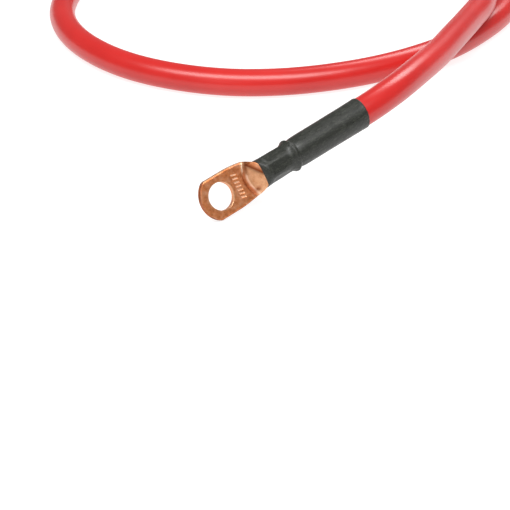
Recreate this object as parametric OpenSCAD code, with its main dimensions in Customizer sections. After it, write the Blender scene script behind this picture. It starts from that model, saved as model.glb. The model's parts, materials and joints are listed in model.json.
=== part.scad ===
// Battery cable end: a copper tube lug crimped on a flexible stranded cable,
// with a heat shrink sleeve over the joint. Millimetres, +Z up, lying on a table at z = 0.
// A lug is drawn in its own frame: +X from the stud hole along the barrel, the palm's front at z = 0.

/* [Palm] */
// Diameter of the stud hole
stud_hole_d = 10.5; // [8.4:0.1:11]
// Width across the palm at the hole
palm_w = 16.2; // [15:0.1:20]
// Width of the palm where it meets the neck
neck_w = 14.4; // [12.5:0.1:15]
// Radius of the sheared end of the palm
tip_r = 9.4; // [9:0.1:12]
// From the hole's centre to the sheared end
tip_reach = 8.4; // [7.5:0.1:11]
// From the hole's centre to where the sides start to draw in
side_reach = 6; // [0:0.5:8]

/* [Neck] */
// From the hole's centre to the foot of the step, on the centre line
step_reach = 11.2; // [9:0.1:12.5]
// How far the foot of the step curves back at the palm's sides
step_bow = 2.2; // [0.5:0.1:3]
// Length from the step's sides to the round of the barrel
neck_len = 3; // [2:0.1:6]
// How square the pressed tube is at the step, 1 is round
step_squareness = 0.55; // [0.4:0.05:1]

/* [Barrel] */
// Outside diameter of the copper tube
barrel_d = 10.6; // [10:0.1:12]
// Wall of the copper tube
tube_wall = 1.2; // [0.8:0.05:1.5]
// Plain round length between the neck and the crimp
throat_len = 3; // [2:0.1:6]
// Length of the six-sided crimp
crimp_len = 9.3; // [5:0.1:14]
// Across the flats of the crimp
crimp_flats = 9.5; // [9:0.05:10]
// Plain round length behind the crimp
heel_len = 0.9; // [0.8:0.1:4]
// Length of the flared mouth
flare_len = 1.5; // [1:0.1:4]
// Diameter over the flared mouth
flare_d = 12; // [11.2:0.1:12.5]

/* [Sleeve] */
// Wall of the shrunk sleeve
sleeve_wall = 0.3; // [0.2:0.05:0.8]
// Bare copper between the neck and the sleeve
sleeve_setback = 0.2; // [0:0.1:2]
// Length of sleeve over the cable's jacket
sleeve_on_cable = 31.5; // [20:0.5:50]
// Diameter of the sleeve's inside where it sinks in behind the mouth
waist_d = 10.6; // [10:0.1:11.2]

/* [Cable] */
// Diameter over the cable's jacket
cable_d = 11.6; // [11:0.1:12]
// Gap between the lug's mouth and the cut end of the jacket
strip_gap = 2; // [1.5:0.1:3]
// Diameter over the bare strands
strands_d = 7.9; // [7:0.1:8]
// Running clearance of the strands in the barrel
strand_fit = 0.1; // [0.05:0.05:0.4]
// Rope lay groups on the outside of the bare strands
strand_groups = 12; // [9:1:15]

/* [Lie] */
// How far the lug is rolled about its barrel
roll = 61; // [55:1:65]
// How far the barrel rises from the palm to the cable
rise = 12; // [10:1:14]

/* [Hidden] */
eps = 0.01;
inset = 0.03;
fine = 96;
hull_fn = 32;
copper = "#b87048";
copper_strand = "#c98a5c";
sleeve_black = "#3c3e3c";
jacket_red = "#e12d2a";

// Palm, neck and barrel, along the lug's own +X
palm_t = 2 * tube_wall;
tip_centre = tip_r - tip_reach;
neck_side = step_reach + step_bow;
neck_end = neck_side + neck_len;
barrel_r = barrel_d / 2;
axis_z = barrel_r - palm_t;
bore_r = strands_d / 2 + strand_fit;
bore_start = neck_end + tube_wall;
crimp_start = neck_end + throat_len;
crimp_end = crimp_start + crimp_len;
flare_start = crimp_end + heel_len;
mouth = flare_start + flare_len;
jacket_end = mouth + strip_gap;

// Sleeve
cable_r = cable_d / 2;
sleeve_start = neck_end + sleeve_setback;
sleeve_end = jacket_end + sleeve_on_cable;
waist_at = mouth + strip_gap / 2;

// Resting height: the fold of the palm's lower corner touches the table
fold_r = palm_t / 2;
fold_bar_r = fold_r - 1.5 * inset;
corner_y = palm_w / 2 - fold_r * (1 - sin(roll));
corner_x = tip_centre - sqrt(pow(tip_r, 2) - pow(corner_y, 2));
rest_h = fold_r * cos(rise) - corner_x * sin(rise)
    + cos(rise) * ((palm_w / 2 - fold_r) * sin(roll) + fold_r * cos(roll));

// The part's own middle over the table
tip_lean = sqrt(pow(cos(rise), 2) + pow(sin(rise) * sin(roll), 2));
low_x = tip_centre * cos(rise) - tip_r * tip_lean;
high_x = sleeve_end * cos(rise) - axis_z * cos(roll) * sin(rise) + (cable_r + sleeve_wall) * sin(rise);
low_y = -axis_z * sin(roll) - flare_d / 2 - sleeve_wall;
high_y = (palm_w / 2 - fold_r) * cos(roll) + fold_r * sin(roll) + fold_r;
middle = [(low_x + high_x) / 2, (low_y + high_y) / 2];

// The far end lies flat, on its palm's tip and the sleeve's ring
far_turn = -82;
far_at = [223, 216];
ring_r = flare_d / 2 + sleeve_wall;
far_rise = atan((ring_r - axis_z - palm_t) / (mouth + tip_reach));
far_h = palm_t * cos(far_rise) + tip_reach * sin(far_rise);

// The cable's route over the table, from the end of the near sleeve to the far one
route = [
    [57, 2, 26.5], [78, 10.5, 26], [99, 21, 24], [121, 33.5, 22], [143, 46.5, 19.5],
    [165, 60, 17.5], [182.5, 78, 14], [195, 99.5, 9.5], [201.5, 123.5, 6.5], [202.5, 148.5, 5.8],
    [198.5, 173, 5.8], [189, 196, 5.8], [174, 216, 5.8], [154, 231, 5.8], [130.5, 239.5, 5.8],
    [105.5, 240.5, 5.8], [81, 235, 5.8], [58.5, 224, 5.8], [39.5, 208, 5.8], [24.5, 190, 5.8],
    [15.5, 169, 5.8], [12.5, 146, 5.8], [15.5, 123, 5.8], [24.5, 102, 5.8], [38.5, 83.5, 5.8],
    [56, 70, 5.8], [76, 60.5, 5.8], [97, 54.5, 5.8], [119, 52, 5.8], [141, 53, 5.8],
    [163, 58, 5.8], [183.5, 65.5, 5.8], [202.5, 78, 5.8], [217, 94.5, 5.8], [228.5, 113.5, 5.8],
    [233, 130.5, 6.4]
];
cable_sides = 12;

// A point of a lug's own frame, as it lies
function laid(p) = let (
        y = p.y * cos(roll) - p.z * sin(roll),
        z = p.y * sin(roll) + p.z * cos(roll)
    ) [p.x * cos(rise) - z * sin(rise) - middle.x, y - middle.y, p.x * sin(rise) + z * cos(rise) + rest_h];
function far_laid(p) = let (
        x = p.x * cos(far_rise) - p.z * sin(far_rise),
        z = p.x * sin(far_rise) + p.z * cos(far_rise)
    ) [far_at.x + x * cos(far_turn) - p.y * sin(far_turn), far_at.y + x * sin(far_turn) + p.y * cos(far_turn),
        far_h + z];

// Points on the barrel's axis, inside and just past the sleeve
axis_stations = [jacket_end, (jacket_end + sleeve_end) / 2, sleeve_end, sleeve_end + cable_d / 2];
near_run = [for (x = axis_stations) laid([x, 0, axis_z])];
far_run = [for (i = [len(axis_stations) - 1 : -1 : 0]) far_laid([axis_stations[i], 0, axis_z])];
cable_path = concat(near_run, route, far_run);

module place_near() {
    translate([-middle.x, -middle.y, rest_h])
        rotate([0, -rise, 0])
            rotate([roll, 0, 0])
                children();
}

module place_far() {
    translate([far_at.x, far_at.y, far_h])
        rotate([0, 0, far_turn])
            rotate([0, -far_rise, 0])
                children();
}

// A round bar along +X, from x0 to x1, about the barrel's axis
module on_axis(x0, x1, r0, r1) {
    translate([x0, 0, axis_z])
        rotate([0, 90, 0])
            cylinder(h = x1 - x0, r1 = r0, r2 = r1, $fn = fine);
}

// One rounded fold of the flattened tube, from one point of its middle line to another
module fold_bar(from, to) {
    translate([from.x, from.y, -fold_r])
        rotate([0, 90, atan2(to.y - from.y, to.x - from.x)])
            cylinder(h = norm(to - from), r = fold_bar_r, $fn = fine);
}

// Keeps what lies ahead of the mitre between two fold bars
module mitre_block(corner, turn) {
    translate([corner.x, corner.y, -2 * palm_t])
        rotate(turn)
            translate([0, -palm_w, 0])
                cube([2 * palm_w, 2 * palm_w, 3 * palm_t]);
}

module palm() {
    wide = palm_w / 2 - fold_r;
    narrow = neck_w / 2 - fold_r - inset;
    under_neck = neck_side + neck_len / 4;
    intersection() {
        union() {
            translate([0, 0, -palm_t])
                linear_extrude(palm_t)
                    polygon([[-tip_reach - 1, -wide], [side_reach, -wide], [under_neck, -narrow],
                        [under_neck, narrow], [side_reach, wide], [-tip_reach - 1, wide]]);
            for (side = [-1, 1]) {
                corner = [side_reach, side * wide];
                reach = [under_neck, side * narrow] - corner;
                ahead = reach / norm(reach);
                half_bend = atan2(ahead.y, ahead.x) / 2;
                intersection() {
                    fold_bar([-tip_reach - 1, corner.y], corner + [palm_t, 0]);
                    mitre_block(corner, half_bend + 180);
                }
                intersection() {
                    fold_bar(corner - palm_t * ahead, corner + reach - fold_r / 4 * ahead);
                    mitre_block(corner, half_bend);
                }
            }
        }
        translate([0, 0, -2 * palm_t])
            linear_extrude(3 * palm_t)
                union() {
                    translate([tip_centre, 0])
                        circle(r = tip_r, $fn = fine);
                    translate([tip_centre, -palm_w])
                        square([neck_end, 2 * palm_w]);
                }
    }
}

// Neck: pressed flat at the step, round at the barrel, flush along the back
neck_steps = 8;
neck_sides = 40;
function mix(a, b, t) = a + (b - a) * t;
function rounded(v, n) = sign(v) * pow(abs(v), n);
function neck_point(t, angle) = let (
        swell = sin(90 * t),
        half_h = mix(fold_r - inset, barrel_r - inset, swell),
        half_w = mix(neck_w / 2 - inset, barrel_r - inset, t),
        squareness = mix(step_squareness, 1, t),
        y = half_w * rounded(cos(angle), squareness),
        z = half_h * rounded(sin(angle), squareness),
        bow = step_bow * (1 - pow(y / half_w, 2)) * (1 - t)
    ) [mix(neck_side, neck_end + eps, t) - bow, y, z + half_h - palm_t + inset];

module neck() {
    last = neck_steps * neck_sides;
    rings = [for (i = [0 : neck_steps], j = [0 : neck_sides - 1]) neck_point(i / neck_steps, 360 * j / neck_sides)];
    ends = [[neck_side - step_bow / 2, 0, -fold_r], [neck_end + eps, 0, axis_z]];
    walls = [for (i = [0 : neck_steps - 1], j = [0 : neck_sides - 1])
        let (a = i * neck_sides + j, b = i * neck_sides + (j + 1) % neck_sides)
            each [[a, a + neck_sides, b], [b, a + neck_sides, b + neck_sides]]];
    front = [for (j = [0 : neck_sides - 1]) [j, (j + 1) % neck_sides, last + neck_sides]];
    back = [for (j = [0 : neck_sides - 1]) [last + (j + 1) % neck_sides, last + j, last + neck_sides + 1]];
    polyhedron(points = concat(rings, ends), faces = concat(walls, front, back));
}

// Outside of the crimped barrel, or of the sleeve shrunk on it when grown by the sleeve's wall
module barrel_form(grow, from) {
    on_axis(from, crimp_start + grow, barrel_r + grow, barrel_r + grow);
    intersection() {
        on_axis(crimp_start - eps, crimp_end + eps, barrel_r + grow, barrel_r + grow);
        translate([crimp_start - 1, 0, axis_z])
            rotate([0, 90, 0])
                rotate([0, 0, 30])
                    cylinder(h = crimp_len + 2, r = (crimp_flats / 2 + grow) / cos(30), $fn = 6);
    }
    on_axis(crimp_end - grow, flare_start + eps, barrel_r + grow, barrel_r + grow);
    on_axis(flare_start, mouth, barrel_r + grow, flare_d / 2 + grow);
}

module lug_solid() {
    color(copper)
        difference() {
            union() {
                palm();
                neck();
                barrel_form(0, neck_end);
            }
            translate([0, 0, -2 * palm_t])
                cylinder(h = 3 * palm_t, d = stud_hole_d, $fn = fine);
            on_axis(bore_start, mouth + 1, bore_r, bore_r);
            on_axis(mouth - tube_wall, mouth + eps, bore_r, bore_r + tube_wall);
        }
}

// Bare strands from the pinched end of the bore to the cut end of the jacket
module conductor_solid() {
    group_r = strands_d * PI / strand_groups / 3;
    color(copper_strand)
        translate([bore_start, 0, axis_z])
            rotate([0, 90, 0])
                linear_extrude(jacket_end - bore_start)
                    union() {
                        circle(r = strands_d / 2 - group_r, $fn = fine);
                        for (i = [0 : strand_groups - 1])
                            rotate(360 * i / strand_groups)
                                translate([strands_d / 2 - group_r, 0])
                                    circle(r = group_r, $fn = hull_fn);
                    }
}

module sleeve_form(grow, over) {
    barrel_form(grow, sleeve_start - over);
    on_axis(mouth, waist_at, flare_d / 2 + grow, waist_d / 2 + grow);
    on_axis(waist_at, jacket_end, waist_d / 2 + grow, cable_r + grow);
    on_axis(jacket_end, sleeve_end + over, cable_r + grow, cable_r + grow);
}

module sleeve_solid() {
    color(sleeve_black)
        difference() {
            sleeve_form(sleeve_wall, 0);
            sleeve_form(0, 1);
        }
}

// A tube of flat-sided rings through the points of a path
function unit(v) = v / norm(v);
function heading(path, i) = unit(path[min(i + 1, len(path) - 1)] - path[max(i - 1, 0)]);
function ring_at(path, i, r, sides) = let (
        ahead = heading(path, i),
        across = unit(cross(ahead, [0, 0, 1])),
        over = cross(across, ahead)
    ) [for (j = [0 : sides - 1]) path[i] + r * (cos(360 * j / sides) * across + sin(360 * j / sides) * over)];

module swept_tube(path, r, sides) {
    n = len(path);
    points = [for (i = [0 : n - 1]) each ring_at(path, i, r, sides)];
    walls = [for (i = [0 : n - 2], j = [0 : sides - 1])
        let (a = i * sides + j, b = i * sides + (j + 1) % sides)
            each [[a, b, a + sides], [b, b + sides, a + sides]]];
    start = [[for (j = [sides - 1 : -1 : 0]) j]];
    end = [[for (j = [0 : sides - 1]) (n - 1) * sides + j]];
    polyhedron(points = points, faces = concat(walls, start, end));
}

module lug() {
    place_near() lug_solid();
}

module conductor() {
    place_near() conductor_solid();
}

module heat_shrink_sleeve() {
    place_near() sleeve_solid();
}

module cable() {
    color(jacket_red) swept_tube(cable_path, cable_r, cable_sides);
}

module far_lug() {
    place_far() lug_solid();
}

module far_conductor() {
    place_far() conductor_solid();
}

module far_sleeve() {
    place_far() sleeve_solid();
}

lug();
conductor();
heat_shrink_sleeve();
cable();
far_lug();
far_conductor();
far_sleeve();
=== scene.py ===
# A battery lead: a flexible cable with a hex-crimped copper tube lug and a heat-shrink sleeve at each end.
# Lengths in the dictionaries are millimetres. A lug's own frame has its origin at the stud hole in the palm's
# front face, x towards the barrel and z out of the face. The camera and the route are in the row's frame.
import json
import math

import bmesh
import bpy
import numpy as np
from mathutils import Matrix, Vector


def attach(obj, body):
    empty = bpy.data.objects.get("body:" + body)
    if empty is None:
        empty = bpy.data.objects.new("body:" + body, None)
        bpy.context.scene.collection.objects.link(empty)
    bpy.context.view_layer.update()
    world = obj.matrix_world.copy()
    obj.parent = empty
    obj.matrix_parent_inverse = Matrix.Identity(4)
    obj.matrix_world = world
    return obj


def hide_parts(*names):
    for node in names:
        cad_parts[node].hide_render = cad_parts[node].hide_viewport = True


mm = 0.001
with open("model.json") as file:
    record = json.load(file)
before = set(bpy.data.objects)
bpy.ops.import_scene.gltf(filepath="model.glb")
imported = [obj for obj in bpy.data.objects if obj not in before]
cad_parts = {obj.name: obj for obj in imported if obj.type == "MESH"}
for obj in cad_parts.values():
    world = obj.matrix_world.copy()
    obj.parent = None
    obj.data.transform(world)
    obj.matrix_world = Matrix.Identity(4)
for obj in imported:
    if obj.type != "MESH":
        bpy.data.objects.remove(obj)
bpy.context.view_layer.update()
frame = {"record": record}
scene = bpy.context.scene

camera = {
    "at": (-359.7, -435.2, 306.1), "along": (0.5365, 0.6745, -0.5071),
    "lens": 120, "sensor": 36, "near": 10, "far": 20000,
}


def placeCamera(c):
    data = bpy.data.cameras.new("camera")
    data.lens, data.sensor_width = c["lens"], c["sensor"]
    data.clip_start, data.clip_end = c["near"] * mm, c["far"] * mm
    item = bpy.data.objects.new("camera", data)
    item.location = Vector(c["at"]) * mm
    item.rotation_mode = "QUATERNION"
    item.rotation_quaternion = Vector(c["along"]).to_track_quat("-Z", "Y")
    scene.collection.objects.link(item)
    scene.camera = item


placeCamera(camera)
print("camera:", camera["lens"], "mm lens")


def linearOf(hexColour):
    channels = [int(hexColour[i : i + 2], 16) / 255 for i in (1, 3, 5)]
    return tuple(c / 12.92 if c <= 0.04045 else ((c + 0.055) / 1.055) ** 2.4 for c in channels) + (1.0,)


def addNode(tree, kind, links=None, inputs=None, stops=None, **settings):
    # a link from a node is from its first output, and a ramp's stops pair a position with a hex colour
    node = tree.nodes.new(kind)
    for name, value in settings.items():
        setattr(node, name, value)
    for name, value in (inputs or {}).items():
        node.inputs[name].default_value = value
    for name, source in (links or {}).items():
        tree.links.new(source.outputs[0] if isinstance(source, bpy.types.Node) else source, node.inputs[name])
    if stops:
        elements = node.color_ramp.elements
        while len(elements) < len(stops):
            elements.new(0.5)
        for element, (position, colour) in zip(elements, stops):
            element.position, element.color = position, linearOf(colour)
    return node


def newObject(name, mesh):
    item = bpy.data.objects.new(name, mesh)
    scene.collection.objects.link(item)
    return item


def meshPiece(name, points, faces, material, fields=None):
    # a smooth mesh from points in millimetres, with its slot and the fields that its material reads
    mesh = bpy.data.meshes.new(name)
    mesh.from_pydata([tuple(p) for p in np.asarray(points, float) * mm], [], faces)
    mesh.validate()
    mesh.materials.append(material)
    mesh.polygons.foreach_set("use_smooth", [True] * len(mesh.polygons))
    for field, values in (fields or {}).items():
        vector = np.ndim(values) == 2
        made = mesh.attributes.new(field, "FLOAT_VECTOR" if vector else "FLOAT", "POINT")
        made.data.foreach_set("vector" if vector else "value", np.asarray(values, float).ravel())
    item = newObject(name, mesh)
    return item


def standFor(item, node):
    # the piece moves with the one body and takes the place of a node's solid
    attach(item, "root")
    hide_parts(node)
    return item


def ringFaces(rings, sides):
    faces = []
    for i in range(rings - 1):
        for j in range(sides):
            a, b = i * sides + j, i * sides + (j + 1) % sides
            faces.append((a, b, b + sides, a + sides))
    return faces


def capFaces(rings, sides):
    # flat ends for a run of rings, wound as ringFaces winds its walls
    start = (rings - 1) * sides
    return [tuple(reversed(range(sides))), tuple(range(start, start + sides))]


def fullTurn(sides):
    return np.linspace(0, 2 * math.pi, sides, endpoint=False)


def smooth(low, high, x):
    t = np.clip((np.asarray(x, float) - low) / (high - low), 0, 1)
    return t * t * (3 - 2 * t)


def softMin(a, b, k):
    h = np.clip(0.5 + 0.5 * (b - a) / k, 0, 1)
    return b * (1 - h) + a * h - k * h * (1 - h)


def band(distance, share, at, half):
    # a soft line: how strong it is, how far off, and half its width
    return share * np.exp(-(((distance - at) / half) ** 2))


def lugFrame(mount, level):
    # matrix from a lug's own frame to the row's, in millimetres, from its stud hole's mount;
    # level keeps x square to the row's y axis, and otherwise x runs the way that the hole's axis leans from
    normal = Vector(mount["axis"]).normalized()
    if level:
        along = Vector((0, 1, 0)).cross(normal).normalized()
    else:
        heading = Vector((-normal.x, -normal.y, 0)).normalized()
        along = (heading - normal * heading.dot(normal)).normalized()
    across = normal.cross(along)
    turn = Matrix((along, across, normal)).transposed().to_4x4()
    turn.translation = Vector(mount["pos_m"]) / mm + normal * (mount["dims"]["length_mm"] / 2)
    return np.array(turn)


def laid(points, matrix):
    p = np.asarray(points, float)
    return p @ matrix[:3, :3].T + matrix[:3, 3]


mounts = {m["name"]: m for m in frame["record"]["mounts"]}
nearFrame = lugFrame(mounts["stud_hole"], True)
farFrame = lugFrame(mounts["far_stud_hole"], False)


def newMaterial(name):
    made = bpy.data.materials.new(name)
    made.use_nodes = True
    made.node_tree.nodes.clear()
    return made, made.node_tree


def finishMaterial(tree, links, values):
    shader = addNode(tree, "ShaderNodeBsdfPrincipled", links, values)
    addNode(tree, "ShaderNodeOutputMaterial", {"Surface": shader})


def paintOver(tree, colour, place, layer):
    # lays a tone over a colour where a cloud is thick: a layer is the cloud, its mask's stops and the tone
    cloud, mask, tone = layer
    thick = addNode(tree, "ShaderNodeTexNoise", {"Vector": place}, cloud)
    share = addNode(tree, "ShaderNodeValToRGB", {"Fac": thick}, stops=mask)
    links = {0: share, 6: colour}
    return addNode(tree, "ShaderNodeMix", links, {7: linearOf(tone)}, data_type="RGBA").outputs[2]


# Cable patterns are on Object coordinates, so a scale is cells to the metre. The others are on a piece's own
# millimetres, so a scale is cells to the millimetre.
pvc = {
    "cloud": {"Scale": 40, "Detail": 3},  # 25 mm
    "tones": ((0.3, "#be1d1a"), (0.7, "#ca2521")),
    "peel": {"Scale": 900, "Detail": 2},  # 1.1 mm, coarser than a die leaves it, so that it shows
    "peelDepth": {"Strength": 0.05, "Distance": 0.0002},
    "surface": {"Roughness": 0.3, "IOR": 1.54, "Specular IOR Level": 0.55},
}
polyolefin = {
    "cloud": {"Scale": 0.5, "Detail": 5, "Roughness": 0.6},  # 2 mm
    "tones": ((0.3, "#1b1d18"), (0.75, "#272924")),
    "rub": ({"Scale": 1.5, "Detail": 8, "Roughness": 0.78}, ((0.5, "#000000"), (0.7, "#a6a6a6")), "#62645a"),
    "dust": ({"Scale": 4.5, "Detail": 3}, ((0.6, "#000000"), (0.7, "#909090")), "#7c7d74"),  # 0.2 mm
    "sheen": {"Scale": 1.3, "Detail": 6, "Roughness": 0.72},
    "sheens": ((0.35, "#8c8c8c"), (0.65, "#c8c8c8")),
    "rubDrawn": (0.3, 1, 1),  # how far a rub is drawn out along the tube
    "grain": {"Scale": 1.8, "Detail": 6, "Roughness": 0.7},  # 0.6 mm
    "grainDrawn": (0.45, 1, 1),
    "grainDepth": {"Strength": 0.5, "Distance": 0.00012},
    "surface": {"IOR": 1.46},
}
copperTube = {
    "blotch": {"Scale": 0.42, "Detail": 7, "Roughness": 0.68},  # 2.4 mm
    "tarnished": ((0.3, "#b4643b"), (0.5, "#dd8654"), (0.68, "#ecab82")),
    # the drawn tone is paler copper for the hole's lip and the ticks, and painted light on the bulge's lit
    # face
    "drawn": ((0.3, "#c4855d"), (0.7, "#e4b28b")),
    # the palest tone is the rubbed copper of the ticks and the painted highlights on the ridge, the rim and
    # the upper edge
    "rubAndHighlightTone": ((0.3, "#f2c8a8"), (0.7, "#fbe4d0")),
    "paleToneUpTo": 0.55,  # how high wear and painted highlight are where the drawn tone is whole
    "rubAndHighlightFrom": 0.6,  # and where the pale tone of rubs and painted highlights begins
    "patch": (
        {"Scale": 0.2, "Detail": 4, "Roughness": 0.6}, ((0.47, "#000000"), (0.64, "#a0a0a0")), "#d9a184",
    ),
    "blush": (
        {"Scale": 2.4, "Detail": 6, "Roughness": 0.75}, ((0.46, "#000000"), (0.68, "#999999")), "#f2c588",
    ),
    # painted shade: the tone laid where the lug's painted-shade field is high
    "paintedShade": "#8e4a29",
    "speck": ({"Scale": 3.4, "Detail": 3, "Roughness": 0.6}, ((0.3, "#777777"), (0.4, "#000000")), "#7a4527"),
    "sheen": {"Scale": 0.9, "Detail": 5, "Roughness": 0.6},
    "sheens": ((0.3, "#a6a6a6"), (0.7, "#c2c2c2")),
    "grain": {"Scale": 2.6, "Detail": 5, "Roughness": 0.6},  # 0.4 mm
    "grainDepth": {"Strength": 0.3, "Distance": 0.00006},
    "surface": {"Metallic": 1.0},
}
copperWire = {
    "cloud": {"Scale": 1.2, "Detail": 4, "Roughness": 0.6},
    "tones": ((0.35, "#c47d52"), (0.7, "#e2a27a")),
    "lines": {"Scale": 9.0, "Detail": 2},  # 0.1 mm
    "linesDrawn": (0.05, 1, 1),
    "lineDepth": {"Strength": 0.2, "Distance": 0.00003},
    "surface": {"Metallic": 1.0, "Roughness": 0.3},
}


def flexiblePvc(c):
    # extruded soft PVC: strongly coloured and satin, with a faint orange peel from the die
    made, tree = newMaterial("flexiblePvc")
    place = addNode(tree, "ShaderNodeTexCoord").outputs["Object"]
    cloud = addNode(tree, "ShaderNodeTexNoise", {"Vector": place}, c["cloud"])
    colour = addNode(tree, "ShaderNodeValToRGB", {"Fac": cloud}, stops=c["tones"])
    peel = addNode(tree, "ShaderNodeTexNoise", {"Vector": place}, c["peel"])
    bump = addNode(tree, "ShaderNodeBump", {"Height": peel}, c["peelDepth"])
    finishMaterial(tree, {"Base Color": colour, "Normal": bump}, c["surface"])
    return made


def shrunkPolyolefin(c):
    # heat-shrink polyolefin: near black and satin, with dusty rubs drawn out along the tube
    made, tree = newMaterial("shrunkPolyolefin")
    own = addNode(tree, "ShaderNodeAttribute", attribute_name="own").outputs["Vector"]
    cloud = addNode(tree, "ShaderNodeTexNoise", {"Vector": own}, c["cloud"])
    colour = addNode(tree, "ShaderNodeValToRGB", {"Fac": cloud}, stops=c["tones"])
    drawn = addNode(tree, "ShaderNodeMapping", {"Vector": own}, {"Scale": c["rubDrawn"]})
    colour = paintOver(tree, colour, drawn, c["rub"])
    colour = paintOver(tree, colour, own, c["dust"])
    streak = addNode(tree, "ShaderNodeTexNoise", {"Vector": drawn}, c["sheen"])
    sheen = addNode(tree, "ShaderNodeValToRGB", {"Fac": streak}, stops=c["sheens"])
    pulled = addNode(tree, "ShaderNodeMapping", {"Vector": own}, {"Scale": c["grainDrawn"]})
    grain = addNode(tree, "ShaderNodeTexNoise", {"Vector": pulled}, c["grain"])
    bump = addNode(tree, "ShaderNodeBump", {"Height": grain}, c["grainDepth"])
    finishMaterial(tree, {"Base Color": colour, "Roughness": sheen, "Normal": bump}, c["surface"])
    return made


def annealedCopper(c):
    # annealed copper tube: matte brown where it has tarnished, paler where it is rubbed and where highlights
    # are painted, darker where shade is painted
    made, tree = newMaterial("annealedCopper")
    own = addNode(tree, "ShaderNodeAttribute", attribute_name="own").outputs["Vector"]
    wearAndHighlight = addNode(tree, "ShaderNodeAttribute", attribute_name="wearAndHighlight").outputs["Fac"]
    paintedShade = addNode(tree, "ShaderNodeAttribute", attribute_name="paintedShade").outputs["Fac"]
    blotch = addNode(tree, "ShaderNodeTexNoise", {"Vector": own}, c["blotch"])
    colour = addNode(tree, "ShaderNodeValToRGB", {"Fac": blotch}, stops=c["tarnished"])
    for tone, reach in (("drawn", {"From Max": c["paleToneUpTo"]}), ("rubAndHighlightTone", {"From Min": c["rubAndHighlightFrom"]})):
        share = addNode(tree, "ShaderNodeMapRange", {"Value": wearAndHighlight}, reach)
        paler = addNode(tree, "ShaderNodeValToRGB", {"Fac": blotch}, stops=c[tone])
        colour = addNode(tree, "ShaderNodeMix", {0: share, 6: colour, 7: paler}, data_type="RGBA").outputs[2]
    colour = paintOver(tree, colour, own, c["patch"])
    colour = paintOver(tree, colour, own, c["blush"])
    # painted shade: darkens the copper towards the shade tone
    shadeTone = {7: linearOf(c["paintedShade"])}
    colour = addNode(tree, "ShaderNodeMix", {0: paintedShade, 6: colour}, shadeTone, data_type="RGBA").outputs[2]
    colour = paintOver(tree, colour, own, c["speck"])
    cloud = addNode(tree, "ShaderNodeTexNoise", {"Vector": own}, c["sheen"])
    sheen = addNode(tree, "ShaderNodeValToRGB", {"Fac": cloud}, stops=c["sheens"])
    grain = addNode(tree, "ShaderNodeTexNoise", {"Vector": own}, c["grain"])
    bump = addNode(tree, "ShaderNodeBump", {"Height": grain}, c["grainDepth"])
    finishMaterial(tree, {"Base Color": colour, "Roughness": sheen, "Normal": bump}, c["surface"])
    return made


def bareStrands(c):
    # drawn copper wire: brighter than the tube, with fine draw lines and a little oxide
    made, tree = newMaterial("bareStrands")
    own = addNode(tree, "ShaderNodeAttribute", attribute_name="own").outputs["Vector"]
    cloud = addNode(tree, "ShaderNodeTexNoise", {"Vector": own}, c["cloud"])
    colour = addNode(tree, "ShaderNodeValToRGB", {"Fac": cloud}, stops=c["tones"])
    drawn = addNode(tree, "ShaderNodeMapping", {"Vector": own}, {"Scale": c["linesDrawn"]})
    lines = addNode(tree, "ShaderNodeTexNoise", {"Vector": drawn}, c["lines"])
    bump = addNode(tree, "ShaderNodeBump", {"Height": lines}, c["lineDepth"])
    finishMaterial(tree, {"Base Color": colour, "Normal": bump}, c["surface"])
    return made


finish = {
    "pvc": flexiblePvc(pvc), "sleeve": shrunkPolyolefin(polyolefin),
    "copper": annealedCopper(copperTube), "strands": bareStrands(copperWire),
}
print("materials:", ", ".join(m.name for m in finish.values()))

barrel = {
    "axis": 2.9, "radius": 5.3, "mouth": 31.1, "flareRadius": 6.0, "flareFrom": 29.5,
    "bore": 4.05, "boreStart": 17.6,
    "pressed": (18.4, 20.2, 27.4, 29.0),  # where the crimp's dies begin, bite whole, begin to lift and end
}
cable = {
    "diameter": 11.6, "sides": 48, "step": 1.6, "samples": 24,
    "start": 33.1, "straightTo": 64.6,  # along the barrel's axis, the cut end and the end of the straight
    "squeezed": 0.62, "squeezedOver": 3.2,  # how far the sleeve draws the cut end in, and over what length
    "easing": 12,  # rounds in which a stiff core evens out its own bends
    "route": (
        (57, 2, 26.5), (78, 10.5, 26), (99, 21, 24), (121, 33.5, 22), (143, 46.5, 19.5),
        (165, 60, 17.5), (182.5, 78, 14), (195, 99.5, 9.5), (201.5, 123.5, 6.5), (202.5, 148.5, 5.8),
        (198.5, 173, 5.8), (189, 196, 5.8), (174, 216, 5.8), (154, 231, 5.8), (130.5, 239.5, 5.8),
        (105.5, 240.5, 5.8), (81, 235, 5.8), (58.5, 224, 5.8), (39.5, 208, 5.8), (24.5, 190, 5.8),
        (15.5, 169, 5.8), (12.5, 146, 5.8), (15.5, 123, 5.8), (24.5, 102, 5.8), (38.5, 83.5, 5.8),
        (56, 70, 5.8), (76, 60.5, 5.8), (97, 54.5, 5.8), (119, 52, 5.8), (141, 53, 5.8),
        (163, 58, 5.8), (183.5, 65.5, 5.8), (202.5, 78, 5.8), (217, 94.5, 5.8), (228.5, 113.5, 5.8),
        (233, 130.5, 6.4),
    ),
    "freeAfter": 25,  # past its cut end the jacket is free to lie as a cord does
}


def lengthsAlong(line):
    return np.concatenate([[0], np.cumsum(np.linalg.norm(np.diff(line, axis=0), axis=1))])


def between(a, b, start, end, t):
    return (end - t) / (end - start) * a + (t - start) / (end - start) * b


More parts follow.
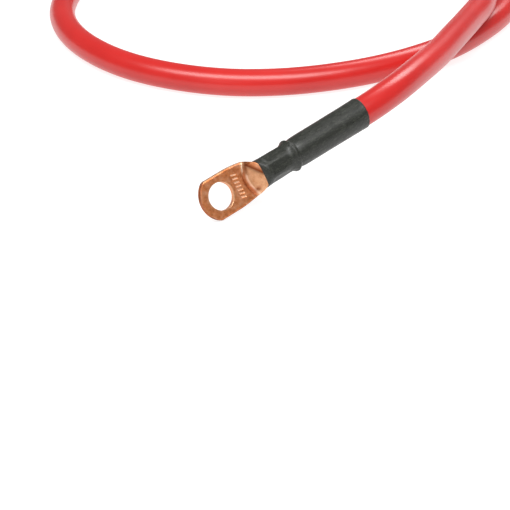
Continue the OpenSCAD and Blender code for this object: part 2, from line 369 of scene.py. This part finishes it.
def smoothLine(points, samples, step):
    # a centripetal Catmull-Rom line through the points, resampled evenly
    p = np.array(points, float)
    p = np.vstack([2 * p[0] - p[1], p, 2 * p[-1] - p[-2]])
    fine = []
    for i in range(1, len(p) - 2):
        p0, p1, p2, p3 = p[i - 1 : i + 3]
        t0 = 0.0
        t1 = t0 + np.linalg.norm(p1 - p0) ** 0.5
        t2 = t1 + np.linalg.norm(p2 - p1) ** 0.5
        t3 = t2 + np.linalg.norm(p3 - p2) ** 0.5
        for t in np.linspace(t1, t2, samples, endpoint=False):
            a1 = between(p0, p1, t0, t1, t)
            a2 = between(p1, p2, t1, t2, t)
            a3 = between(p2, p3, t2, t3, t)
            fine.append(between(between(a1, a2, t0, t2, t), between(a2, a3, t1, t3, t), t1, t2, t))
    fine.append(p[-2])
    fine = np.array(fine)
    along = lengthsAlong(fine)
    at = np.linspace(0, along[-1], int(along[-1] / step) + 1)
    return np.stack([np.interp(at, along, fine[:, k]) for k in range(3)], axis=1)


def straightRun(c, matrix):
    # the jacket's points on the barrel's axis, inside the sleeve and half a diameter past it
    start, end = c["start"], c["straightTo"]
    stations = [start, (start + end) / 2, end, end + c["diameter"] / 2]
    return [tuple(p) for p in laid([(x, 0, barrel["axis"]) for x in stations], matrix)]


def routeLine(c):
    points = straightRun(c, nearFrame) + list(c["route"]) + straightRun(c, farFrame)[::-1]
    line = smoothLine(points, c["samples"], c["step"])
    for _ in range(c["easing"]):
        line[1:-1] = (line[:-2] + 2 * line[1:-1] + line[2:]) / 4
    return line


def makeCable(c, line):
    heading = np.gradient(line, axis=0)
    heading /= np.linalg.norm(heading, axis=1)[:, None]
    across = np.cross(heading, [0, 0, 1])
    across /= np.linalg.norm(across, axis=1)[:, None]
    over = np.cross(across, heading)
    turn = fullTurn(c["sides"])[None, :, None]
    rim = np.cos(turn) * across[:, None] + np.sin(turn) * over[:, None]
    along = lengthsAlong(line)
    fromEnd = np.minimum(along, along[-1] - along)
    r = c["diameter"] / 2 - c["squeezed"] * (1 - smooth(0, c["squeezedOver"], fromEnd))
    points = (line[:, None] + r[:, None, None] * rim).reshape(-1, 3)
    faces = ringFaces(len(line), c["sides"]) + capFaces(len(line), c["sides"])
    faces = [tuple(reversed(f)) for f in faces]
    return standFor(meshPiece("cableJacket", points, faces, finish["pvc"]), "cable")


cableLine = routeLine(cable)
cableJacket = makeCable(cable, cableLine)
print("cable:", round(float(lengthsAlong(cableLine)[-1]), 1), "mm of jacket")

lug = {
    "tipRadius": 9.4, "tipCentre": 1.0, "palmHalf": 8.1, "neckHalf": 7.25, "straightTo": 5.0, "neckAt": 13.6,
    "taper": 1.6,  # above 1, the palm's sides leave the straight softly
    "fold": 1.2, "foldSquare": 0.68,  # below 1, a fold is squarer than a half round
    "edge": 0.14, "hole": 5.25, "holeEdge": 0.16, "holeSides": 128, "punchOut": 1,
    "foot": 11.3, "bow": 2.2, "neckEnd": 16.4,
    "shield": {"slope": 1.26, "lift": 0.1, "crown": 0.012, "blend": 0.35},
    "crimpFlat": 4.55, "crimpBlend": 0.12, "lipEdge": 0.15, "lipWall": 1.0, "leadIn": 1.3,
    "sides": 240, "endInsets": (0.55, 0.25), "endSteps": 8, "endAt": -2.2,
    "merge": 0.004, "sharpAbove": 32,  # millimetres, and degrees
    "palmStations": ((-1.6, 6.6, 0.6), (6.7, 17.0, 0.14)),  # from, up to and every, closer where the step is
    "barrelStations": ((17.1, 19.0, 0.2), (19.2, 31.0, 0.4)),
    "boreRings": (25.1, 20.0), "boreCone": (16.9, 0.55), "boreEnd": 16.6,
    "opening": {  # how the flat strip becomes the round tube
        "before": 1.5,  # up to this far before the foot a section is a plain strip
        "settle": (0.2, 0.3), "narrow": (1.7, 0.7),  # from past the foot to past the neck
        "top": (-0.5, 0.35),  # on a circle of radius 1, where the tube's top gives way to its underside
        "sunk": 0.02,  # what lies lower than this isn't cut by the shield
    },
    "stripMarks": {"face": (-0.02, 0.0), "side": (-0.1, 0.5)},  # where the press has marked the strip,
    "archMarks": {"face": (0.05, 0.5), "end": (-0.2, 0.7)},  # and where it has marked the arch
    "upper": (1.5, 4.5),  # across the palm, where the foot's low half gives way to its high one
    "upperFoot": ((0.4, -0.1, 0.4), (-0.25, 0.75, 0.5)),  # height, distance past the foot and half width
    "lowerFoot": ((0.3, 0.9, 0.5), (-0.12, -0.2, 0.35)),
    "tick": {
        "count": 7, "from": -4.5, "pitch": 1.5, "low": 6.85, "high": 9.15, "lean": 0.5,
        "half": 0.24, "slope": (0.4, 1.5), "ends": (0.15, 0.1), "deep": 0.2,
    },
    "valley": {"start": (13.6, 5.6), "end": (16.4, 0.8), "half": 0.6, "deep": 0.42, "from": (0.2, 1.4)},
    "dimple": {"at": (13.4, -4.2), "radius": 0.85, "deep": 0.33},
}


def palmHalfAt(x):
    # half the palm's width: straight past the hole, then drawn in to the neck
    c = lug
    t = np.clip((x - c["straightTo"]) / (c["neckAt"] - c["straightTo"]), 0, 1)
    return c["palmHalf"] - (c["palmHalf"] - c["neckHalf"]) * t ** c["taper"]


def hexRadius(turn, flat):
    # radius of a six-sided bar, one flat facing the palm's front
    sector = math.pi / 3
    return flat / np.cos((turn - math.pi / 2 + sector / 2) % sector - sector / 2)


def footAt(v):
    # where the palm ends and the tube starts to rise, bowed towards the barrel at both sides
    return lug["foot"] + lug["bow"] * np.clip(v / lug["neckHalf"], -1, 1) ** 2


def shieldAt(x, v):
    # height of the pressed shield, which runs on up under the sleeve
    c = lug["shield"]
    return np.maximum(c["slope"] * (x - lug["foot"]) + c["lift"] - c["crown"] * np.asarray(v) ** 2, 0)


def tickDepth(x, v):
    # a row of plain equal ticks
    c = lug["tick"]
    out, into = c["ends"]
    low, high = c["slope"]
    t = np.clip((x - c["low"]) / (c["high"] - c["low"]), 0, 1)
    inside = smooth(c["low"] - out, c["low"] + into, x) * (1 - smooth(c["high"] - into, c["high"] + out, x))
    middles = c["from"] + c["pitch"] * np.arange(c["count"])
    leaning = np.asarray(v)[..., None] + c["lean"] * (t[..., None] - 0.5)
    nearest = np.min(np.abs(leaning - middles), axis=-1)
    return inside * (1 - smooth(c["half"] * low, c["half"] * high, nearest))


def valleyAt(x, v):
    # the crease in the shield, from beside the neck up to the barrel
    c = lug["valley"]
    a, b = np.array(c["start"]), np.array(c["end"])
    d = b - a
    t = np.clip(((x - a[0]) * d[0] + (v - a[1]) * d[1]) / (d @ d), 0, 1)
    return band(np.hypot(x - a[0] - t * d[0], v - a[1] - t * d[1]), 1, 0, c["half"])


def dimpleAt(x, v):
    c = lug["dimple"]
    return band(np.hypot(x - c["at"][0], v - c["at"][1]), 1, 0, c["radius"])


def pressMarks(x, v):
    # relief of the pressed face: ticks, valley and dimple, and the ridges and hollows along the foot
    c, past = lug, x - footAt(v)
    relief = -c["tick"]["deep"] * tickDepth(x, v)
    relief = relief - c["valley"]["deep"] * valleyAt(x, v) * smooth(*c["valley"]["from"], past)
    relief = relief - c["dimple"]["deep"] * dimpleAt(x, v)
    upper = smooth(*c["upper"], v)
    for share, lines in ((upper, c["upperFoot"]), (1 - upper, c["lowerFoot"])):
        for line in lines:
            relief = relief + share * band(past, *line)
    return relief


def pressedAt(x):
    # how far the crimp's six flats have bitten, from none to whole
    a, b, c, d = barrel["pressed"]
    return smooth(a, b, x) * (1 - smooth(c, d, x))


def crimpedRadius(r, x, turn, flat, blend):
    pressed = pressedAt(x)
    return r * (1 - pressed) + softMin(r, hexRadius(turn, flat), blend) * pressed


def foldedStrip(x, turn, inset):
    # the palm's section: a third of the turn goes to each face and a sixth to each folded edge
    r = lug["fold"] - inset
    flat = palmHalfAt(x) - inset - r
    degrees = np.degrees(turn) % 360
    front, back = (degrees > 30) & (degrees < 150), (degrees > 210) & (degrees < 330)
    right = (degrees <= 30) | (degrees >= 330)
    signed = np.where(degrees > 180, degrees - 360, degrees)
    foldTurn = np.radians(np.where(right, signed * 3, 180 + (degrees - 180) * 3))
    across, over = (np.sign(w) * np.abs(w) ** lug["foldSquare"] for w in (np.cos(foldTurn), np.sin(foldTurn)))
    v = np.where(front, flat * (90 - degrees) / 60, np.where(back, flat * (degrees - 270) / 60, 0))
    v = np.where(front | back, v, np.where(right, flat, -flat) + r * across)
    return v, np.where(front, r, np.where(back, -r, r * over)) - lug["fold"], flat


def lugSection(x, turn, inset=0.0):
    # one section of the pressed tube: a folded strip at the palm, an arch at the neck, round at the barrel
    c = lug
    v, n, flat = foldedStrip(x, turn, inset)
    opening, face, side = c["opening"], c["stripMarks"]["face"], c["stripMarks"]["side"]
    if x <= c["foot"] - opening["before"]:
        marked = smooth(*face, n) * (1 - smooth(flat + side[0], flat + side[1], np.abs(v)))
        return v, n + marked * pressMarks(np.full_like(v, x), v)
    foot = footAt(v)
    rise = np.sin(np.clip((x - foot) / (c["neckEnd"] - foot), 0, 1) * math.pi / 2)
    spans = (opening["settle"], opening["narrow"])
    settle, narrow = (smooth(c["foot"] + past, c["neckEnd"] + over, x) for past, over in spans)
    top = smooth(*opening["top"], np.sin(turn))
    opened = settle * (1 - top) + rise * top
    height = n * (1 - opened) + (barrel["axis"] + barrel["radius"] * np.sin(turn)) * opened
    width = v * (1 - narrow) + barrel["radius"] * np.cos(turn) * narrow
    cut = softMin(height, shieldAt(x, width), c["shield"]["blend"])
    height = np.where(height > opening["sunk"], np.maximum(cut, 0), height)
    face, end = c["archMarks"]["face"], c["archMarks"]["end"]
    marked = smooth(*face, np.sin(turn)) * (1 - smooth(c["neckEnd"] + end[0], c["neckEnd"] + end[1], x))
    return width, height + marked * pressMarks(np.full_like(width, x), width)


def tipAt(v):
    # the sheared end's arc
    return lug["tipCentre"] - np.sqrt(np.maximum(lug["tipRadius"] ** 2 - v**2, 0))


def stationsOf(spans):
    return np.concatenate([np.arange(*span) for span in spans])


def lugRings(c):
    turn, edge, rings = fullTurn(c["sides"]), c["edge"], []
    insets = [(inset, 0) for inset in c["endInsets"]] + [(edge, 0), (edge * 0.3, edge * 0.3), (0, edge)]
    for inset, back in insets:  # the sheared end, from its middle out to its rounded edge
        v, n = lugSection(c["endAt"], turn, inset)
        rings.append((tipAt(v) + back, v, n))
    v, n = lugSection(c["endAt"], turn)
    for t in np.arange(1, c["endSteps"] + 1) / c["endSteps"]:  # from the end's arc to a straight section
        rings.append(((tipAt(v) + edge) * (1 - t) + t * c["endAt"], v, n))
    for x in stationsOf(c["palmStations"]):
        v, n = lugSection(x, turn)
        rings.append((np.full_like(v, x), v, n))
    for x in stationsOf(c["barrelStations"]):
        r = crimpedRadius(np.full_like(turn, barrel["radius"]), x, turn, c["crimpFlat"], c["crimpBlend"])
        r = r + (barrel["flareRadius"] - barrel["radius"]) * smooth(barrel["flareFrom"], barrel["mouth"], x)
        v, n = r * np.cos(turn), barrel["axis"] + r * np.sin(turn)
        rings.append((np.full_like(r, x), v, softMin(n, shieldAt(x, v), c["shield"]["blend"])))
    bore, mouth = barrel["bore"], barrel["mouth"]
    inner = [(mouth, barrel["flareRadius"] - c["lipEdge"]), (mouth, bore + c["lipWall"])]
    inner += [(x, bore) for x in (mouth - c["leadIn"], *c["boreRings"], barrel["boreStart"])]
    inner.append((c["boreCone"][0], bore * c["boreCone"][1]))
    for x, r in inner:
        rings.append((np.full_like(turn, x), r * np.cos(turn), barrel["axis"] + r * np.sin(turn)))
    return np.array(rings).transpose(0, 2, 1)


def turnedPunch(c):
    # a turned cutter about the hole's axis, opened out past both faces to break the hole's edges
    back, edge, hole, out, sides = -2 * c["fold"], c["holeEdge"], c["hole"], c["punchOut"], c["holeSides"]
    wide = hole + out + edge
    profile = [(back - out, wide), (back + edge, hole), (-edge, hole), (out, wide)]
    points = [(r * math.cos(t), r * math.sin(t), h) for h, r in profile for t in fullTurn(sides)]
    mesh = bpy.data.meshes.new("punch")
    mesh.from_pydata(points, [], ringFaces(len(profile), sides) + capFaces(len(profile), sides))
    return newObject("punch", mesh)


def evaluatedMesh(item):
    # what the modifiers make of the object, as a plain mesh
    mesh = bpy.data.meshes.new_from_object(item.evaluated_get(bpy.context.evaluated_depsgraph_get()))
    item.modifiers.clear()
    return mesh


def shapeOf(mesh):
    return np.array([v.co for v in mesh.vertices]), [tuple(f.vertices) for f in mesh.polygons]


def cutAway(item, cutter, merge):
    change = item.modifiers.new("cut", "BOOLEAN")
    change.operation, change.solver, change.object = "DIFFERENCE", "EXACT", cutter
    item.data = evaluatedMesh(item)
    bpy.data.objects.remove(cutter)
    work = bmesh.new()
    work.from_mesh(item.data)
    bmesh.ops.remove_doubles(work, verts=work.verts, dist=merge)
    bmesh.ops.dissolve_degenerate(work, edges=work.edges, dist=merge)
    bmesh.ops.triangulate(work, faces=[f for f in work.faces if len(f.verts) > 4])
    work.to_mesh(item.data)
    work.free()


def lugShape(c):
    # points and faces in the lug's own frame, in millimetres
    rings = lugRings(c)
    count, sides = rings.shape[:2]
    ends = [[c["tipCentre"] - c["tipRadius"], 0, -c["fold"]], [c["boreEnd"], 0, barrel["axis"]]]
    points = np.vstack([rings.reshape(-1, 3), ends])
    tip, bore, start = count * sides, count * sides + 1, (count - 1) * sides
    faces = ringFaces(count, sides)
    faces += [(tip, (j + 1) % sides, j) for j in range(sides)]
    faces += [(bore, start + j, start + (j + 1) % sides) for j in range(sides)]
    mesh = bpy.data.meshes.new("lugBlank")
    mesh.from_pydata([tuple(p) for p in points], [], [tuple(reversed(f)) for f in faces])
    blank = newObject("lugBlank", mesh)
    cutAway(blank, turnedPunch(c), c["merge"])
    shape = shapeOf(blank.data)
    bpy.data.objects.remove(blank)
    return shape


# A line is its strength, how far off it lies and half its width. A pair is where a share starts and is whole.
# where the lug's copper is rubbed, and where highlights and shade are painted on it
wearAndPaintedLight = {
    # the bulge's lit face, the rim, the ridge and the upper edge get painted highlights; the hole's lip is
    # rubbed
    "face": (-0.5, -0.15), "paintedLitBulge": 0.55, "bulgePast": (0.1, 0.5), "bulgeOver": (0.02, 0.3),
    "shaded": 0.85, "shadedAcross": (0, 0.7), "shadedPast": (0.6, 1.4),  # painted shade: fewer painted highlights above the valley
    "rim": (0.95, 0.7, 0.5), "rimOver": (0.02, 0.2), "ridgeHighlight": (1, -0.1, 0.42), "holeLip": (0.6, 0.05, 0.28),
    "edgeHighlight": (0.42, 0.1), "edgeHighlightOver": (-1.9, -1.0), "edgesUpTo": (14.2, 12.2),
    # the foot, behind the ridge, the valley, the dimple, the lower edge and the tip get painted shade
    "foot": (0.6, -0.35, 0.4), "footAcross": (-6, -3), "shadeBehindRidge": (0.7, 0.85, 0.45),
    "valleyPast": (0.1, 0.8), "dimple": 0.8, "paintedShadeEdge": 0.85, "paintedShadeEdgeIn": (0.8, 0.1),
    "tip": 0.7, "tipIn": (0.12, 0.0),
}


def wearAndLightFields(c, p):
    # rubbed at the hole's lip and the ticks; painted highlights on the bulge's lit face, the rim, the ridge
    # and the upper edge; painted shade in the foot, behind the ridge, in the valley and the dimple, and on
    # the lower edge and the tip
    x, v, n = p.T
    past, face, upper = x - footAt(v), smooth(*c["face"], n), smooth(*lug["upper"], v)
    start, end = np.array(lug["valley"]["start"]), np.array(lug["valley"]["end"])
    slope = (end - start) / np.linalg.norm(end - start)
    aside = (x - start[0]) * -slope[1] + (v - start[1]) * slope[0]
    shaded = c["shaded"] * smooth(*c["shadedAcross"], aside) * smooth(*c["shadedPast"], past)
    inset, nearTip = palmHalfAt(x) - np.abs(v), smooth(*c["edgesUpTo"], x)
    # painted highlight on the ridge at the foot's high end
    ridgeHighlight = upper * band(past, *c["ridgeHighlight"]) * face
    wearAndHighlight = np.maximum.reduce([
        # painted highlight on the bulge's lit face
        c["paintedLitBulge"] * smooth(*c["bulgePast"], past) * smooth(*c["bulgeOver"], n) * (1 - shaded),
        # painted highlight: the bright crescent along the low half of the foot
        (1 - upper) * band(past, *c["rim"]) * smooth(*c["rimOver"], n),
        ridgeHighlight,
        # painted highlight along the upper folded edge
        smooth(*c["edgeHighlight"], inset) * nearTip * (v > 0) * smooth(*c["edgeHighlightOver"], n),
        band(np.hypot(x, v) - lug["hole"], *c["holeLip"]) * face,
        tickDepth(x, v) * face,
    ])
    # painted shade in the low half of the foot
    footShade = band(past, *c["foot"]) * (1 - upper) * smooth(*c["footAcross"], v)
    # painted shade: the foot, behind the ridge, the valley, the dimple, the lower folded edge and the sheared
    # tip's edge
    paintedShade = np.maximum.reduce([
        face * (footShade + upper * band(past, *c["shadeBehindRidge"])),
        face * valleyAt(x, v) * smooth(*c["valleyPast"], past),
        face * c["dimple"] * dimpleAt(x, v),
        c["paintedShadeEdge"] * smooth(*c["paintedShadeEdgeIn"], inset) * nearTip * (v < 0),
        c["tip"] * smooth(*c["tipIn"], lug["tipRadius"] - np.hypot(x - lug["tipCentre"], v)) * (x < 0),
    ])
    return {"own": p, "wearAndHighlight": np.clip(wearAndHighlight, 0, 1), "paintedShade": np.clip(paintedShade * (1 - ridgeHighlight), 0, 1)}


def copperPiece(name, node, matrix):
    item = meshPiece(name, laid(lugPoints, matrix), lugFaces, finish["copper"], lugFields)
    item.data.set_sharp_from_angle(angle=math.radians(lug["sharpAbove"]))
    return standFor(item, node)


lugPoints, lugFaces = lugShape(lug)
lugFields = wearAndLightFields(wearAndPaintedLight, lugPoints)
nearLug = copperPiece("copperLug", "lug", nearFrame)
farLug = copperPiece("farCopperLug", "far_lug", farFrame)
print("lugs:", len(lugFaces), "faces each")

sleeve = {
    "sides": 96, "wall": 0.34, "from": 16.3, "to": 66.45, "crimpFlat": 4.98, "crimpBlend": 0.1,
    "askew": 0.4, "askewOver": 8, "askewTurn": 0.65,  # the end isn't cut quite square
    "overShield": 0.06, "shieldBlend": 1.3,
    "fine": 0.25, "fineUpTo": 34.0, "coarse": 0.8, "coarseShort": 0.2, "edge": 0.12,
    "profile": (
        (16.0, 5.66), (17.2, 5.56), (18.6, 5.5), (20.0, 5.46), (24.0, 5.44), (27.4, 5.34), (28.6, 5.34),
        (29.6, 5.52), (30.5, 5.98), (31.1, 6.38), (31.45, 6.44), (31.8, 6.22), (32.3, 5.74), (32.8, 5.58),
        (33.6, 5.72), (35.2, 5.9), (38.0, 5.95), (46.0, 5.97), (54.0, 6.02), (60.0, 6.06), (64.8, 6.12),
        (66.9, 6.22),
    ),
}


def throughPoints(pairs, x):
    # a monotone cubic through (x, y) pairs
    xs, ys = np.array(pairs, float).T
    step = np.diff(ys) / np.diff(xs)
    slope = np.zeros_like(ys)
    same = step[:-1] * step[1:] > 0
    slope[1:-1][same] = 2 / (1 / step[:-1][same] + 1 / step[1:][same])
    slope[0], slope[-1] = step[0], step[-1]
    i = np.clip(np.searchsorted(xs, x) - 1, 0, len(xs) - 2)
    w = xs[i + 1] - xs[i]
    t = (x - xs[i]) / w
    start = ys[i] * (2 * t**3 - 3 * t**2 + 1) + slope[i] * w * (t**3 - 2 * t**2 + t)
    return start + ys[i + 1] * (3 * t**2 - 2 * t**3) + slope[i + 1] * w * (t**3 - t**2)


def sleeveRing(c, x, inward):
    # one section of the shrunk tube, which follows the crimp's flats and the shield
    turn = fullTurn(c["sides"])
    at = x + c["askew"] * smooth(c["to"] - c["askewOver"], c["to"], x) * np.cos(turn + c["askewTurn"])
    r = crimpedRadius(throughPoints(c["profile"], at), at, turn, c["crimpFlat"], c["crimpBlend"]) - inward
    v, n = r * np.cos(turn), barrel["axis"] + r * np.sin(turn)
    over = shieldAt(at, v) + c["wall"] + c["overShield"] - inward
    return at, v, softMin(n, over, c["shieldBlend"])


def sleeveRings(c):
    start, end, wall = c["from"], c["to"], c["wall"]
    fine = np.arange(start, c["fineUpTo"], c["fine"])
    stations = np.concatenate([fine, np.arange(c["fineUpTo"], end - c["coarseShort"], c["coarse"])])[1:]
    rings = [(start, wall), (start, wall * 0.75), (start, wall * 0.25)]  # each is where and how far in
    rings += [(x, 0) for x in stations]
    rings += [(end - c["edge"], 0), (end, wall * 0.2), (end, wall * 0.8)]
    rings += [(x, wall) for x in stations[::-1]]
    return np.array([sleeveRing(c, *ring) for ring in rings]).transpose(0, 2, 1)


def sleevePiece(name, node, matrix):
    rings = sleeveRings(sleeve)
    count, sides = rings.shape[:2]
    last, own = (count - 1) * sides, rings.reshape(-1, 3)
    faces = ringFaces(count, sides)
    faces += [(last + j, last + (j + 1) % sides, (j + 1) % sides, j) for j in range(sides)]
    item = meshPiece(name, laid(own, matrix), faces, finish["sleeve"], {"own": own})
    return standFor(item, node)


nearSleeve = sleevePiece("shrinkSleeve", "heat_shrink_sleeve", nearFrame)
farSleeve = sleevePiece("farShrinkSleeve", "far_sleeve", farFrame)
print("sleeves:", len(nearSleeve.data.polygons), "faces each")

strands = {
    "from": barrel["boreStart"] + 0.3, "to": cable["start"] - 0.05, "outer": 3.88, "layers": 4,
    "sides": 10, "steps": 28, "sharpAbove": 50,  # degrees
    "turns": 0.35, "layShare": (0.8, 1.0),  # from end to end, and an even and an odd layer's share
    "looseness": 0.03, "seed": 7,
}


def strandTree(c):
    # layers of twisted strands: each layer is one helix instanced round the axis
    tree = bpy.data.node_groups.new("twistedStrands", "GeometryNodeTree")
    sockets = {
        "Length": "Float", "Strand Radius": "Float", "Turns": "Float",
        "Looseness": "Float", "Seed": "Int", "Material": "Material",
    }
    tree.interface.new_socket("Geometry", in_out="INPUT", socket_type="NodeSocketGeometry")
    for name, kind in sockets.items():
        tree.interface.new_socket(name, in_out="INPUT", socket_type="NodeSocket" + kind)
    tree.interface.new_socket("Geometry", in_out="OUTPUT", socket_type="NodeSocketGeometry")
    given, end = addNode(tree, "NodeGroupInput").outputs, addNode(tree, "NodeGroupOutput")
    radius, hand = given["Strand Radius"], given["Turns"]
    around = {"Resolution": c["sides"]}
    section = addNode(tree, "GeometryNodeCurvePrimitiveCircle", {"Radius": radius}, around)
    joined = addNode(tree, "GeometryNodeJoinGeometry")
    for layer in range(c["layers"]):
        count = max(6 * layer, 1)  # six more in each layer, round one in the middle
        reach = addNode(tree, "ShaderNodeMath", {0: radius}, {1: 2.0 * layer}, operation="MULTIPLY")
        share = c["layShare"][layer % 2]
        turns = addNode(tree, "ShaderNodeMath", {0: hand}, {1: share}, operation="MULTIPLY")
        path = {"Rotations": turns, "Start Radius": reach, "End Radius": reach, "Height": given["Length"]}
        helix = addNode(tree, "GeometryNodeCurveSpiral", path, {"Resolution": c["steps"]})
        drawn = {"Curve": helix, "Profile Curve": section}
        strand = addNode(tree, "GeometryNodeCurveToMesh", drawn, {"Fill Caps": True})
        spots = addNode(tree, "GeometryNodeMeshLine", None, {"Count": count, "Offset": (0, 0, 0)})
        index = addNode(tree, "GeometryNodeInputIndex")
        step = addNode(tree, "ShaderNodeMath", {0: index}, {1: 2 * math.pi / count}, operation="MULTIPLY")
        loose = {"Seed": given["Seed"], 3: given["Looseness"]}
        stray = addNode(tree, "FunctionNodeRandomValue", loose, data_type="FLOAT").outputs[1]
        angle = addNode(tree, "ShaderNodeMath", {0: step, 1: stray}, operation="ADD")
        turned = addNode(tree, "ShaderNodeCombineXYZ", {"Z": angle})
        placed = {"Points": spots, "Instance": strand, "Rotation": turned}
        copies = addNode(tree, "GeometryNodeInstanceOnPoints", placed)
        tree.links.new(copies.outputs[0], joined.inputs[0])
    real = addNode(tree, "GeometryNodeRealizeInstances", {0: joined})
    painted = addNode(tree, "GeometryNodeSetMaterial", {"Geometry": real, "Material": given["Material"]})
    tree.links.new(painted.outputs[0], end.inputs[0])
    return tree


def strandShape(c):
    # points and faces of the whole bundle in the lug's own frame, in millimetres
    tree = strandTree(c)
    item = newObject("bundle", bpy.data.meshes.new("bundle"))
    change = item.modifiers.new("strands", "NODES")
    change.node_group = tree
    values = {
        "Length": c["to"] - c["from"], "Strand Radius": c["outer"] / (2 * c["layers"] - 1),
        "Turns": c["turns"], "Looseness": c["looseness"], "Seed": c["seed"], "Material": finish["strands"],
    }
    for socket in tree.interface.items_tree:
        if socket.in_out == "INPUT" and socket.name in values:
            change[socket.identifier] = values[socket.name]
    item.update_tag()
    bpy.context.view_layer.update()
    points, faces = shapeOf(evaluatedMesh(item))
    bpy.data.objects.remove(item)
    return np.stack([c["from"] + points[:, 2], points[:, 0], barrel["axis"] + points[:, 1]], 1), faces


def strandPiece(name, node, matrix):
    own, faces = bundle
    item = meshPiece(name, laid(own, matrix), faces, finish["strands"], {"own": own})
    item.data.set_sharp_from_angle(angle=math.radians(strands["sharpAbove"]))
    return standFor(item, node)


bundle = strandShape(strands)
nearStrands = strandPiece("strandBundle", "conductor", nearFrame)
farStrands = strandPiece("farStrandBundle", "far_conductor", farFrame)
print("strands:", len(nearStrands.data.polygons), "faces each")

stage = {
    "floorHalf": 6000,
    "paper": {
        "Base Color": (0.3, 0.3, 0.3, 1), "Roughness": 0.8,
        "Emission Color": linearOf("#ffffff"), "Emission Strength": 0.84,
    },
    "sky": {"Color": linearOf("#ffffff"), "Strength": 0.25},
    "aim": (50, 50, 20),
    "boxes": (  # name, place, width and depth, and watts
        ("softboxTop", (-250, -220, 1050), (1400, 500), 17.5),  # long, so that it draws a line along the loop
        ("softboxFront", (-900, -500, 550), (500, 400), 0.4),
        ("softboxBack", (950, 450, 850), (500, 500), 5.0),
    ),
}


def makeStage(c):
    # white paper that glows a little, a pale sky and three softboxes
    made, tree = newMaterial("paperFloor")
    finishMaterial(tree, {}, c["paper"])
    half = c["floorHalf"]
    corners = [(-half, -half, 0), (half, -half, 0), (half, half, 0), (-half, half, 0)]
    floor = meshPiece("floor", corners, [(0, 1, 2, 3)], made)
    world = bpy.data.worlds.new("studio")
    world.use_nodes = True
    for name, value in c["sky"].items():
        world.node_tree.nodes["Background"].inputs[name].default_value = value
    scene.world = world
    for name, at, (width, depth), power in c["boxes"]:
        data = bpy.data.lights.new(name, "AREA")
        data.shape, data.size, data.size_y, data.energy = "RECTANGLE", width * mm, depth * mm, power
        item = newObject(name, data)
        item.location = Vector(at) * mm
        item.rotation_mode = "QUATERNION"
        item.rotation_quaternion = (Vector(c["aim"]) - Vector(at)).to_track_quat("-Z", "Y")
    scene.view_settings.view_transform = "Standard"


makeStage(stage)
print("stage:", len(stage["boxes"]), "softboxes")
